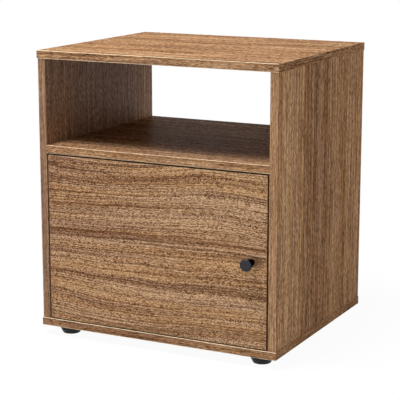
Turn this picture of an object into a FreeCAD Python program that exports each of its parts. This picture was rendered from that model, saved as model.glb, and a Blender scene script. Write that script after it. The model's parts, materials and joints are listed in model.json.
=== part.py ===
import FreeCAD, Part
import math
import os
import re
import Sketcher

# Storage side table: a board cabinet with an open cubby above a compartment whose inset door
# hangs on two concealed four-bar cup hinges. +X right, +Y back, +Z up, feet on Z = 0.

Vector = FreeCAD.Vector
doc = FreeCAD.newDocument("storage_side_table")
sheet = doc.addObject("Spreadsheet::Sheet", "sizes")

# Driving dimensions in millimetres
DIMENSIONS = {
    # cabinet boards
    "width": 490.0,
    "depth": 412.0,
    "body_height": 528.0,
    "panel_thickness": 15.0,
    "side_overhang": 1.5,
    "front_overhang": 1.5,
    "shelf_top_height": 351.0,
    "edge_bevel": 0.5,
    "overrun": 1.0,
    "fit_gap": 0.05,
    # door and its gaps
    "door_side_gap": 3.0,
    "door_top_gap": 3.0,
    "door_bottom_gap": 2.0,
    # hardboard back in its grooves
    "back_thickness": 3.0,
    "back_inset": 8.0,
    "groove_depth": 6.0,
    "groove_room": 0.2,
    # wooden dowels
    "dowel_radius": 4.0,
    "dowel_length": 30.0,
    "dowel_face_depth": 10.0,
    "dowel_end_room": 0.5,
    "dowel_inset": 60.0,
    "dowel_chamfer": 1.0,
    # connector screws under the bottom panel
    "connector_inset": 105.0,
    "connector_head_radius": 5.0,
    "connector_head_height": 3.0,
    "connector_shank_radius": 3.2,
    "connector_length": 45.0,
    # cam fittings under the shelf
    "cam_radius": 7.4,
    "cam_depth": 12.0,
    "cam_distance": 24.0,
    "cam_inset": 100.0,
    "cam_bore_radius": 3.8,
    "cam_bore_past": 2.6,
    "cam_slot_length": 9.0,
    "cam_slot_width": 1.6,
    "cam_slot_depth": 2.0,
    "bolt_thread_radius": 3.0,
    "bolt_thread_length": 10.0,
    "bolt_shank_radius": 2.0,
    "bolt_head_radius": 3.3,
    "bolt_head_length": 4.0,
    "bolt_hole_radius": 4.0,
    # moulded feet
    "foot_height": 18.0,
    "foot_radius": 21.5,
    "foot_base_radius": 16.5,
    "foot_taper_height": 10.0,
    "foot_round": 8.0,
    "foot_edge_round": 1.0,
    "foot_web": 5.0,
    "foot_recess_radius": 6.0,
    "foot_side_inset": 42.7,
    "foot_front_inset": 36.0,
    # knob and its screw
    "knob_projection": 26.4,
    "knob_face_radius": 11.2,
    "knob_base_radius": 6.0,
    "knob_neck": 3.0,
    "knob_rim": 2.5,
    "knob_rim_round": 1.0,
    "knob_edge_inset": 29.5,
    "knob_hole_room": 1.0,
    "knob_screw_hole_room": 0.3,
    "knob_screw_head_radius": 4.0,
    "knob_screw_head_height": 2.6,
    "knob_screw_shank_radius": 2.0,
    "knob_screw_length": 28.0,
    # one wood screw for hinges, catch and feet
    "wood_screw_head_radius": 3.4,
    "wood_screw_head_height": 2.0,
    "wood_screw_shank_radius": 1.75,
    "wood_screw_length": 12.0,
    # hinge cup in the door
    "hinge_end_inset": 70.0,
    "cup_radius": 17.5,
    "cup_depth": 11.7,
    "cup_wall": 0.6,
    "cup_floor": 0.8,
    "cup_edge_margin": 5.0,
    "cup_drill_room": 0.1,
    "cup_flange": 1.2,
    "cup_flange_radius": 19.0,
    "cup_screw_spacing": 48.0,
    "cup_screw_offset": 6.0,
    "cup_ear_radius": 6.5,
    # hinge links and pins
    "hinge_sheet": 1.2,
    "layer_gap": 0.5,
    "pin_radius": 1.0,
    "pin_seat": 1.6,
    "running_gap": 0.05,
    "open_pivot_gap": 0.5,
    "inner_link_width": 7.0,
    "link_eye_radius": 2.1,
    "link_room": 0.8,
    "link_floor_room": 0.6,
    "inner_link_reach": 10.7,
    "inner_link_rise": 1.3,
    "cup_pin_spacing": 6.0,
    "cup_pin_rise": 0.6,
    "arm_pin_spacing": 10.4,
    "arm_pin_rise": 2.1,
    "outer_link_radius": 2.3,
    "outer_link_tail": 3.4,
    "outer_link_bay": 3.2,
    # hinge arm
    "arm_eye_radius": 2.2,
    "arm_neck_start": 6.0,
    "arm_neck_edge": 1.2,
    "arm_web_start": 2.0,
    "arm_elbow": 15.0,
    "arm_elbow_rise": 7.0,
    "arm_base_start": 35.0,
    "arm_base_rise": 6.0,
    "arm_base_end": 71.0,
    "arm_standoff": 3.2,
    "arm_base_height": 12.0,
    "arm_mitre": 0.5,
    "arm_screw_place": 48.0,
    "arm_screw_spacing": 14.0,
    "arm_screw_head_radius": 3.2,
    "arm_screw_head_height": 2.0,
    "arm_screw_shank_radius": 2.0,
    "arm_screw_length": 9.0,
    # mounting plate
    "plate_sheet": 2.0,
    "plate_screw_depth": 37.0,
    "plate_screw_spacing": 32.0,
    "plate_wing_radius": 6.5,
    "plate_spine_width": 13.0,
    "plate_end": 73.0,
    "plate_block_start": 43.0,
    "plate_block_end": 69.0,
    "plate_block_room": 0.4,
    # magnetic catch and strike
    "catch_inset": 60.0,
    "catch_length": 46.0,
    "catch_core_length": 28.0,
    "catch_depth": 14.0,
    "catch_height": 12.0,
    "catch_ear_height": 3.5,
    "catch_screw_spacing": 37.0,
    "magnet_length": 24.0,
    "magnet_height": 5.0,
    "magnet_depth": 9.0,
    "pole_thickness": 1.2,
    "pole_depth": 10.0,
    "pole_protrusion": 1.0,
    "catch_room": 0.2,
    "strike_length": 46.0,
    "strike_height": 9.0,
    "strike_thickness": 1.5,
    "strike_gap": 0.3,
}
for row, (name, size) in enumerate(DIMENSIONS.items(), start=1):
    sheet.set("A%d" % row, name)
    sheet.set("B%d" % row, str(size))
    sheet.setAlias("B%d" % row, name)
doc.recompute()

# Sizes and places that follow from the driving dimensions, in the order they build on
FORMULAS = {
    "total_depth": "depth + knob_projection - front_overhang",
    "front": "knob_projection - total_depth / 2",
    "side_depth": "depth - front_overhang",
    "inner_x": "width / 2 - side_overhang - panel_thickness",
    "board_middle": "panel_thickness / 2",
    "side_middle_x": "inner_x + board_middle",
    "floor_z": "foot_height + panel_thickness",
    "side_height": "body_height - 2 * panel_thickness",
    "top_under_z": "foot_height + body_height - panel_thickness",
    "shelf_under_z": "foot_height + shelf_top_height - panel_thickness",
    "shelf_length": "2 * inner_x",
    "shelf_in_side": "shelf_under_z - floor_z",
    "door_width": "2 * inner_x - 2 * door_side_gap",
    "door_bottom_z": "floor_z + door_bottom_gap",
    "door_height": "shelf_under_z - door_top_gap - door_bottom_z",
    "groove_width": "back_thickness + 2 * groove_room",
    "groove_start": "side_depth - back_inset - groove_room - back_thickness",
    "dowel_hole": "dowel_radius + fit_gap",
    "dowel_end_depth": "dowel_length - dowel_face_depth + dowel_end_room",
    "connector_hole": "connector_shank_radius + fit_gap",
    "connector_pilot": "connector_length - panel_thickness + connector_head_height + dowel_end_room",
    "cam_hole": "cam_radius + fit_gap",
    "wood_pilot": "wood_screw_shank_radius + fit_gap",
    "knob_x": "door_width - knob_edge_inset",
    "knob_hole_depth": "knob_screw_length - panel_thickness + knob_hole_room",
    "foot_x": "width / 2 - foot_side_inset",
    "foot_screw_depth": "wood_screw_length - foot_web",
    # hinge frame: centre of the cup on the back face of the closed door
    "cup_in_door": "cup_edge_margin + cup_radius",
    "side_face": "-(door_side_gap + cup_in_door)",
    "cup_inner": "cup_radius - cup_wall",
    "arm_inside": "inner_link_width + 2 * layer_gap",
    "arm_outside": "arm_inside + 2 * hinge_sheet",
    "stirrup_inside": "arm_outside + 2 * layer_gap",
    "stirrup_outside": "stirrup_inside + 2 * hinge_sheet",
    "cup_slot": "stirrup_outside + 2 * layer_gap",
    "cup_pin_length": "cup_slot + 2 * pin_seat",
    "pressed_pin": "pin_radius + fit_gap / 2",
    "turning_pin": "pin_radius + running_gap",
    "open_pin": "pin_radius + open_pivot_gap",
    "inner_cup_x": "-(cup_inner - link_eye_radius - link_room)",
    "inner_cup_y": "-(cup_depth - cup_floor - link_eye_radius - link_floor_room)",
    "outer_cup_x": "inner_cup_x + cup_pin_spacing",
    "outer_cup_y": "inner_cup_y + cup_pin_rise",
    "inner_arm_x": "inner_cup_x + inner_link_reach",
    "inner_arm_y": "inner_cup_y + inner_link_rise",
    "outer_arm_x": "inner_arm_x + arm_pin_spacing",
    "outer_arm_y": "inner_arm_y + arm_pin_rise",
    "outer_link_length": "sqrt(pow(outer_arm_x - outer_cup_x; 2) + pow(outer_arm_y - outer_cup_y; 2))",
    "tail_share": "1 + outer_link_tail / outer_link_length",
    "tail_x": "outer_cup_x + tail_share * (outer_arm_x - outer_cup_x)",
    "tail_y": "outer_cup_y + tail_share * (outer_arm_y - outer_cup_y)",
    "neck_left": "inner_arm_x + arm_neck_start",
    "neck_right": "outer_arm_x + arm_neck_edge",
    "arm_foot": "side_face + arm_standoff",
    "arm_back": "arm_foot + arm_base_height",
    "arm_seat": "arm_back - hinge_sheet",
    "arm_screw_hole": "arm_screw_shank_radius + fit_gap",
    "plate_block_width": "arm_inside - 2 * plate_block_room",
    # catch frame: middle of the housing's front face, on the underside of the shelf
    "catch_x": "inner_x - catch_inset",
    "catch_y": "front + panel_thickness + strike_thickness + strike_gap + pole_protrusion",
    "catch_bay_length": "magnet_length + 2 * catch_room",
    "catch_bay_height": "magnet_height + 2 * pole_thickness + 2 * catch_room",
    "catch_bay_depth": "pole_depth - pole_protrusion + catch_room",
    "catch_middle": "(catch_height + catch_ear_height) / 2",
    "strike_z": "shelf_under_z - catch_middle",
}
expanded = {}


def formula(text):
    """Write a formula in plain names as one in the sheet's cells."""
    def cell(match):
        word = match.group(0)
        if word in expanded:
            return "(" + expanded[word] + ")"
        return "sizes." + word if word in DIMENSIONS else word
    return re.sub(r"[a-z_]+", cell, text)


for name, text in FORMULAS.items():
    expanded[name] = formula(text)


def value(text):
    return float(sheet.evalExpression(formula(text)))


def place(item, x, y, z):
    """Set an item's own origin in the table's frame."""
    for axis, text in zip("xyz", (x, y, z)):
        item.setExpression("Placement.Base." + axis, formula(text))
    return item


def new_body(label):
    body = doc.addObject("PartDesign::Body", label)
    body.Label = label
    return body


# Sketches, each on a plane of its own body at a level along the plane's axis
FLIPPED_PLANE = "XZ_Plane"


def sketch(body, plane, level="0"):
    drawing = body.newObject("Sketcher::SketchObject", "Sketch")
    origin_plane = next(item for item in body.Origin.OriginFeatures if item.Role == plane)
    drawing.AttachmentSupport = [(origin_plane, "")]
    drawing.MapMode = "FlatFace"
    sign = "-" if plane == FLIPPED_PLANE else ""
    drawing.setExpression("AttachmentOffset.Base.z", formula("%s(%s)" % (sign, level)))
    return drawing


def bind(drawing, kind, where, text):
    """Add a dimension whose value follows a formula."""
    index = drawing.addConstraint(Sketcher.Constraint(kind, *where, value(text)))
    drawing.setExpression("Constraints[%d]" % index, formula(text))


def locate(drawing, index, point, x, y):
    bind(drawing, "DistanceX", (index, point), x)
    bind(drawing, "DistanceY", (index, point), y)


def polygon(drawing, corners):
    spots = [Vector(value(x), value(y), 0) for x, y in corners]
    count = len(spots)
    first = drawing.GeometryCount
    for index, spot in enumerate(spots):
        drawing.addGeometry(Part.LineSegment(spot, spots[(index + 1) % count]))
    for index, (x, y) in enumerate(corners):
        following = first + (index + 1) % count
        drawing.addConstraint(Sketcher.Constraint("Coincident", first + index, 2, following, 1))
        locate(drawing, first + index, 1, x, y)


def rectangle(drawing, left, low, right, high):
    polygon(drawing, [(left, low), (right, low), (right, high), (left, high)])


def circle(drawing, x, y, radius):
    centre = Vector(value(x), value(y), 0)
    index = drawing.addGeometry(Part.Circle(centre, Vector(0, 0, 1), value(radius)))
    bind(drawing, "Radius", (index,), radius)
    locate(drawing, index, 3, x, y)


def slot(drawing, start, end, radius):
    """Two half rounds joined by tangent lines."""
    tip = Vector(value(end[0]), value(end[1]), 0)
    root = Vector(value(start[0]), value(start[1]), 0)
    along = tip - root
    heading = math.atan2(along.y, along.x)
    across = Vector(-along.y, along.x, 0).normalize() * value(radius)
    quarter = math.pi / 2
    up = Vector(0, 0, 1)
    far = drawing.addGeometry(Part.ArcOfCircle(
        Part.Circle(tip, up, value(radius)), heading - quarter, heading + quarter))
    near = drawing.addGeometry(Part.ArcOfCircle(
        Part.Circle(root, up, value(radius)), heading + quarter, heading + 3 * quarter))
    left = drawing.addGeometry(Part.LineSegment(root + across, tip + across))
    right = drawing.addGeometry(Part.LineSegment(root - across, tip - across))
    for ends in ((near, 1, left, 1), (left, 2, far, 2), (far, 1, right, 2), (right, 1, near, 2)):
        drawing.addConstraint(Sketcher.Constraint("Tangent", *ends))
    drawing.addConstraint(Sketcher.Constraint("Equal", far, near))
    bind(drawing, "Radius", (far,), radius)
    locate(drawing, near, 3, *start)
    locate(drawing, far, 3, *end)


def barrel(drawing, radius, height):
    """A round on the sketch's origin, cut off flat above and below."""
    half = value(height) / 2
    angle = math.asin(half / value(radius))
    ring = Part.Circle(Vector(0, 0, 0), Vector(0, 0, 1), value(radius))
    right = drawing.addGeometry(Part.ArcOfCircle(ring, -angle, angle))
    left = drawing.addGeometry(Part.ArcOfCircle(ring, math.pi - angle, math.pi + angle))
    reach = value(radius) * math.cos(angle)
    high = drawing.addGeometry(Part.LineSegment(Vector(reach, half, 0), Vector(-reach, half, 0)))
    low = drawing.addGeometry(Part.LineSegment(Vector(-reach, -half, 0), Vector(reach, -half, 0)))
    for ends in ((right, 2, high, 1), (high, 2, left, 1), (left, 2, low, 1), (low, 2, right, 1)):
        drawing.addConstraint(Sketcher.Constraint("Coincident", *ends))
    for line in (high, low):
        drawing.addConstraint(Sketcher.Constraint("Horizontal", line))
    for arc in (right, left):
        drawing.addConstraint(Sketcher.Constraint("Coincident", arc, 3, -1, 1))
        bind(drawing, "Radius", (arc,), radius)
    bind(drawing, "DistanceY", (high, 1), height + " / 2")
    bind(drawing, "DistanceY", (low, 1), "-(%s) / 2" % height)


# Solid features; way is +1 or -1 along the axis of the sketch's plane
def is_flipped(drawing):
    return drawing.AttachmentSupport[0][0].Role == FLIPPED_PLANE


def pad(body, drawing, length, way=1):
    feature = body.newObject("PartDesign::Pad", "Pad")
    feature.Profile = drawing
    feature.setExpression("Length", formula(length))
    feature.Reversed = (way < 0) != is_flipped(drawing)
    return feature


def cut(body, drawing, length, way):
    feature = body.newObject("PartDesign::Pocket", "Pocket")
    feature.Profile = drawing
    feature.setExpression("Length", formula(length))
    feature.Reversed = (way > 0) != is_flipped(drawing)
    return feature


def turn(body, drawing):
    """Revolve a half outline about the sketch's upright axis."""
    feature = body.newObject("PartDesign::Revolution", "Revolution")
    feature.Profile = drawing
    feature.ReferenceAxis = (drawing, ["V_Axis"])
    feature.Angle = 360
    return feature


def dress(body, kind, feature, size, wanted):
    """Bevel or round the edges of a feature whose middle the test wants."""
    doc.recompute()
    chosen = ["Edge%d" % number for number, edge in enumerate(feature.Shape.Edges, start=1)
              if wanted(edge.BoundBox.Center)]
    dressing = body.newObject("PartDesign::" + kind, kind)
    dressing.Base = (feature, chosen)
    dressing.setExpression("Size" if kind == "Chamfer" else "Radius", formula(size))
    return dressing


def drill(body, plane, level, way, depth, radius, spots):
    drawing = sketch(body, plane, level)
    for x, y in spots:
        circle(drawing, x, y, radius)
    cut(body, drawing, depth, way)


def board(label, long, deep, high, bevelled):
    """A rectangular board from its own left front bottom corner, edges broken where banded."""
    body = new_body(label)
    drawing = sketch(body, "XY_Plane")
    rectangle(drawing, "0", "0", long, deep)
    block = pad(body, drawing, high)
    dress(body, "Chamfer", block, "edge_bevel", bevelled)
    return body


# Headings of a piece that is drawn upright
def facing(x, y, z):
    return FreeCAD.Rotation(Vector(0, 0, 1), Vector(x, y, z))


UP, DOWN = FreeCAD.Rotation(), facing(0, 0, -1)
RIGHT, LEFT, BACK = facing(1, 0, 0), facing(-1, 0, 0), facing(0, 1, 0)
HALF_TURN = FreeCAD.Rotation(Vector(0, 0, 1), 180)


def at_front(centre):
    return centre.y < value("overrun")


def copies(label, master, spots, heading=UP):
    """One node of separate solids: a master piece repeated, each turned to one heading."""
    group = doc.addObject("Part::Feature", label)
    group.Label = label
    solids = []
    for x, y, z in spots:
        solid = master.Shape.Solids[0].copy()
        spot = Vector(value(x), value(y), value(z))
        solid.Placement = FreeCAD.Placement(spot, heading)
        solids.append(solid)
    group.Shape = Part.makeCompound(solids)
    return group


def screw(name):
    """A domed screw: seat of the head at Z = 0, head above it, shank below."""
    head, rise = name + "_head_radius", name + "_head_height"
    shank, length = name + "_shank_radius", name + "_length"
    body = new_body(name + "_master")
    drawing = sketch(body, "XZ_Plane")
    polygon(drawing, [("0", "-" + length), (shank, "%s - %s" % (shank, length)), (shank, "0"),
                      (head, "0"), (head, rise + " / 2"), (head + " / 2", rise), ("0", rise)])
    turn(body, drawing)
    return body


nodes = []
FRONT_AND_BACK = ("dowel_inset", "side_depth - dowel_inset")
THREE_DEEP = ("dowel_inset", "side_depth / 2", "side_depth - dowel_inset")
CAM_PLACES = ("cam_inset", "side_depth - cam_inset")
CONNECTOR_PLACES = ("connector_inset", "side_depth - connector_inset")
END_SIGNS = ("-", "")
HINGE_HEIGHTS = {"lower": "door_bottom_z + hinge_end_inset",
                 "upper": "door_bottom_z + door_height - hinge_end_inset"}


def across_wide(places):
    """Spots over both side boards, in the frame of a top or bottom panel."""
    return [("width / 2 + %sside_middle_x" % (sign or "+"), "front_overhang + " + spot)
            for sign in END_SIGNS for spot in places]


# Top panel: laid over the sides on glued dowels, a little proud of them
top = board("top_panel", "width", "depth", "panel_thickness", lambda centre: True)
drill(top, "XY_Plane", "0", 1, "dowel_face_depth", "dowel_hole", across_wide(THREE_DEEP))
nodes.append(place(top, "-width / 2", "front - front_overhang", "top_under_z"))

# Bottom panel: dowels and connector screws into the sides, feet below, groove for the back
bottom = board("bottom_panel", "width", "depth", "panel_thickness", lambda centre: True)
drill(bottom, "XY_Plane", "panel_thickness", -1, "dowel_face_depth", "dowel_hole",
      across_wide(FRONT_AND_BACK))
drill(bottom, "XY_Plane", "0", 1, "panel_thickness + overrun", "connector_hole",
      across_wide(CONNECTOR_PLACES))
drill(bottom, "XY_Plane", "0", 1, "connector_head_height", "connector_head_radius + fit_gap",
      across_wide(CONNECTOR_PLACES))
FOOT_SPOTS = {
    "front_left": ("-foot_x", "foot_front_inset"),
    "front_right": ("foot_x", "foot_front_inset"),
    "back_left": ("-foot_x", "depth - foot_front_inset"),
    "back_right": ("foot_x", "depth - foot_front_inset"),
}
drill(bottom, "XY_Plane", "0", 1, "foot_screw_depth + fit_gap", "wood_pilot",
      [("width / 2 + " + x, y) for x, y in FOOT_SPOTS.values()])
back_groove = sketch(bottom, "XY_Plane", "panel_thickness")
rectangle(back_groove, "width / 2 - inner_x - groove_depth", "front_overhang + groove_start",
          "width / 2 + inner_x + groove_depth", "front_overhang + groove_start + groove_width")
cut(bottom, back_groove, "groove_depth", -1)
nodes.append(place(bottom, "-width / 2", "front - front_overhang", "foot_height"))


# Side boards: the left one also carries the hinge plates
def side(label, left, inner, way):
    body = board(label, "panel_thickness", "side_depth", "side_height", at_front)
    drill(body, "XY_Plane", "side_height", -1, "dowel_end_depth", "dowel_hole",
          [("board_middle", spot) for spot in THREE_DEEP])
    drill(body, "XY_Plane", "0", 1, "dowel_end_depth", "dowel_hole",
          [("board_middle", spot) for spot in FRONT_AND_BACK])
    drill(body, "XY_Plane", "0", 1, "connector_pilot", "connector_hole",
          [("board_middle", spot) for spot in CONNECTOR_PLACES])
    drill(body, "YZ_Plane", inner, way, "dowel_face_depth", "dowel_hole",
          [(spot, "shelf_in_side + board_middle") for spot in FRONT_AND_BACK])
    drill(body, "YZ_Plane", inner, way, "bolt_thread_length + fit_gap", "bolt_thread_radius + fit_gap",
          [(spot, "shelf_in_side + board_middle") for spot in CAM_PLACES])
    groove = sketch(body, "YZ_Plane", inner)
    rectangle(groove, "groove_start", "-overrun", "groove_start + groove_width",
              "shelf_in_side + groove_depth")
    cut(body, groove, "groove_depth", way)
    return place(body, left, "front", "floor_z")


left_side = side("left_side_panel", "-inner_x - panel_thickness", "panel_thickness", -1)
drill(left_side, "YZ_Plane", "panel_thickness", -1, "wood_screw_length - plate_sheet + fit_gap",
      "wood_pilot",
      [("panel_thickness + plate_screw_depth", "%s - floor_z %s plate_screw_spacing / 2" % (height, sign))
       for height in HINGE_HEIGHTS.values() for sign in "+-"])
nodes.append(left_side)
nodes.append(side("right_side_panel", "inner_x", "0", 1))

# Shelf: roof of the compartment and floor of the cubby
shelf = board("cubby_shelf", "shelf_length", "side_depth", "panel_thickness", at_front)
for level, way in (("0", 1), ("shelf_length", -1)):
    drill(shelf, "YZ_Plane", level, way, "dowel_end_depth", "dowel_hole",
          [(spot, "board_middle") for spot in FRONT_AND_BACK])
    drill(shelf, "YZ_Plane", level, way, "cam_distance", "bolt_hole_radius",
          [(spot, "board_middle") for spot in CAM_PLACES])
drill(shelf, "XY_Plane", "0", 1, "cam_depth + fit_gap", "cam_hole",
      [(reach, spot) for reach in ("cam_distance", "shelf_length - cam_distance") for spot in CAM_PLACES])
drill(shelf, "XY_Plane", "0", 1, "wood_screw_length - catch_ear_height + fit_gap", "wood_pilot",
      [("inner_x + catch_x %s catch_screw_spacing / 2" % sign, "catch_y - front + catch_depth / 2")
       for sign in "+-"])
shelf_groove = sketch(shelf, "XY_Plane")
rectangle(shelf_groove, "-overrun", "groove_start", "shelf_length + overrun", "groove_start + groove_width")
cut(shelf, shelf_groove, "groove_depth", 1)
nodes.append(place(shelf, "-inner_x", "front", "shelf_under_z"))

# Hardboard back of the compartment, standing in the groove of the bottom panel
back = new_body("back_panel")
sheet_outline = sketch(back, "XZ_Plane")
rectangle(sheet_outline, "groove_room - groove_depth - inner_x", "-groove_depth",
          "inner_x + groove_depth - groove_room", "shelf_in_side + groove_depth - groove_room")
pad(back, sheet_outline, "back_thickness")
nodes.append(place(back, "0", "front + groove_start + groove_room", "floor_z"))

# Door board: bored for two cups, the knob's screw and the strike
door = board("door_panel", "door_width", "panel_thickness", "door_height", lambda centre: True)
CUP_ROWS = ("hinge_end_inset", "door_height - hinge_end_inset")
drill(door, "XZ_Plane", "panel_thickness", -1, "cup_depth + cup_drill_room", "cup_radius + cup_drill_room",
      [("cup_in_door", row) for row in CUP_ROWS])
drill(door, "XZ_Plane", "panel_thickness", -1, "wood_screw_length - cup_flange + fit_gap", "wood_pilot",
      [("cup_in_door + cup_screw_offset", "%s %s cup_screw_spacing / 2" % (row, sign))
       for row in CUP_ROWS for sign in "+-"])
drill(door, "XZ_Plane", "panel_thickness", -1, "panel_thickness + overrun",
      "knob_screw_shank_radius + knob_screw_hole_room", [("knob_x", "door_height / 2")])
drill(door, "XZ_Plane", "panel_thickness", -1, "wood_screw_length - strike_thickness + fit_gap", "wood_pilot",
      [("door_width / 2 + catch_x %s catch_screw_spacing / 2" % sign, "strike_z - door_bottom_z")
       for sign in "+-"])
nodes.append(place(door, "-door_width / 2", "front", "door_bottom_z"))

# Knob: a turned taper with a flat face, tapped from behind
knob = new_body("knob")
knob_outline = sketch(knob, "XY_Plane")
polygon(knob_outline, [
    ("knob_screw_shank_radius + fit_gap", "0"), ("knob_base_radius", "0"),
    ("knob_base_radius", "-knob_neck"), ("knob_face_radius", "knob_rim - knob_projection"),
    ("knob_face_radius", "-knob_projection"), ("0", "-knob_projection"), ("0", "-knob_hole_depth"),
    ("knob_screw_shank_radius + fit_gap", "-knob_hole_depth")])
knob_solid = turn(knob, knob_outline)
dress(knob, "Fillet", knob_solid, "knob_rim_round",
      lambda centre: abs(centre.y + value("knob_projection")) < value("fit_gap"))
nodes.append(place(knob, "knob_x - door_width / 2", "front", "door_bottom_z + door_height / 2"))

# Feet: moulded pucks, tapered in below with soft edges, screwed up through a recess
wood_screw = screw("wood_screw")
for corner, (x, y) in FOOT_SPOTS.items():
    foot = new_body("foot_" + corner)
    foot_outline = sketch(foot, "XZ_Plane")
    polygon(foot_outline, [
        ("foot_recess_radius", "0"), ("foot_base_radius", "0"), ("foot_radius", "foot_taper_height"),
        ("foot_radius", "foot_height"), ("wood_pilot", "foot_height"),
        ("wood_pilot", "foot_height - foot_web"), ("foot_recess_radius", "foot_height - foot_web")])
    foot_solid = turn(foot, foot_outline)
    foot_bowl = dress(foot, "Fillet", foot_solid, "foot_round",
                      lambda centre: abs(centre.z - value("foot_taper_height")) < value("fit_gap"))
    dress(foot, "Fillet", foot_bowl, "foot_edge_round", lambda centre: abs(centre.z) < value("fit_gap"))
    nodes.append(place(foot, x, "front - front_overhang + " + y, "0"))

# Dowel: a chamfered peg standing on Z = 0
dowel = new_body("dowel_master")
peg_outline = sketch(dowel, "XY_Plane")
circle(peg_outline, "0", "0", "dowel_radius")
peg = pad(dowel, peg_outline, "dowel_length")
dress(dowel, "Chamfer", peg, "dowel_chamfer",
      lambda centre: abs(centre.z - value("dowel_length / 2")) > value("dowel_length / 4"))

# Cam disc: mouth down, with a bore for the bolt's head and a slot for the driver
cam = new_body("cam_master")
disc_outline = sketch(cam, "XY_Plane")
circle(disc_outline, "0", "0", "cam_radius")
pad(cam, disc_outline, "cam_depth")
drill(cam, "YZ_Plane", "-cam_radius - overrun", 1, "cam_radius + overrun + cam_bore_past", "cam_bore_radius",
      [("0", "board_middle")])
driver = sketch(cam, "XY_Plane")
rectangle(driver, "-cam_slot_width / 2", "-cam_slot_length / 2", "cam_slot_width / 2", "cam_slot_length / 2")
cut(cam, driver, "cam_slot_depth", 1)

# Cam bolt: thread below Z = 0, in the side board, and head above, in the cam
bolt = new_body("bolt_master")
bolt_outline = sketch(bolt, "XZ_Plane")
HEAD_START = "cam_distance - bolt_head_length / 2"
polygon(bolt_outline, [
    ("0", "-bolt_thread_length"), ("bolt_thread_radius", "-bolt_thread_length"),
    ("bolt_thread_radius", "0"), ("bolt_shank_radius", "0"), ("bolt_shank_radius", HEAD_START),
    ("bolt_head_radius", HEAD_START), ("bolt_head_radius", HEAD_START + " + bolt_head_length"),
    ("0", HEAD_START + " + bolt_head_length")])
turn(bolt, bolt_outline)

connector = screw("connector")
knob_screw = screw("knob_screw")
arm_screw = screw("arm_screw")


# Hinge pieces, drawn around the cup's centre on the back face of the closed door
def hang(body, height):
    return place(body, "-inner_x - side_face", "front + panel_thickness", height)


def centred(body, width):
    """A sketch whose pad of that width lies evenly about the hinge's middle plane."""
    return sketch(body, "XY_Plane", "-(%s) / 2" % width)


INNER_CUP = ("inner_cup_x", "inner_cup_y")
OUTER_CUP = ("outer_cup_x", "outer_cup_y")
INNER_ARM = ("inner_arm_x", "inner_arm_y")
OUTER_ARM = ("outer_arm_x", "outer_arm_y")


def hinge_cup(label):
    """Cast cup with a flange, ears for two screws and a bay for the links."""
    body = new_body(label)
    bowl = sketch(body, "XZ_Plane")
    circle(bowl, "0", "0", "cup_radius")
    pad(body, bowl, "cup_depth", -1)
    flange = sketch(body, "XZ_Plane")
    circle(flange, "0", "0", "cup_flange_radius")
    pad(body, flange, "cup_flange")
    ears = sketch(body, "XZ_Plane")
    slot(ears, ("cup_screw_offset", "-cup_screw_spacing / 2"), ("cup_screw_offset", "cup_screw_spacing / 2"),
         "cup_ear_radius")
    pad(body, ears, "cup_flange")
    bay = sketch(body, "XZ_Plane", "cup_flange")
    barrel(bay, "cup_inner", "cup_slot")
    cut(body, bay, "cup_flange + cup_depth - cup_floor", -1)
    drill(body, "XZ_Plane", "cup_flange", -1, "cup_flange + overrun", "wood_pilot",
          [("cup_screw_offset", sign + "cup_screw_spacing / 2") for sign in END_SIGNS])
    drill(body, "XY_Plane", "-cup_pin_length / 2", 1, "cup_pin_length", "pressed_pin", [INNER_CUP, OUTER_CUP])
    return body


def inner_link(label):
    """Short solid link between the arm's front pin and the cup's outer pin."""
    body = new_body(label)
    bar = centred(body, "inner_link_width")
    slot(bar, INNER_CUP, INNER_ARM, "link_eye_radius")
    pad(body, bar, "inner_link_width")
    drill(body, "XY_Plane", "-inner_link_width / 2", 1, "inner_link_width", "turning_pin",
          [INNER_CUP, INNER_ARM])
    return body


def outer_link(label):
    """Stirrup: two cheeks outside the arm, bridged past the arm's rear pin."""
    body = new_body(label)
    cheeks = centred(body, "stirrup_outside")
    slot(cheeks, OUTER_CUP, ("tail_x", "tail_y"), "outer_link_radius")
    pad(body, cheeks, "stirrup_outside")
    bay = centred(body, "stirrup_inside")
    slot(bay, OUTER_CUP, OUTER_ARM, "outer_link_bay")
    cut(body, bay, "stirrup_inside", 1)
    drill(body, "XY_Plane", "-stirrup_outside / 2", 1, "stirrup_outside", "turning_pin", [OUTER_ARM])
    drill(body, "XY_Plane", "-stirrup_outside / 2", 1, "stirrup_outside", "open_pin", [OUTER_CUP])
    return body


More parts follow.
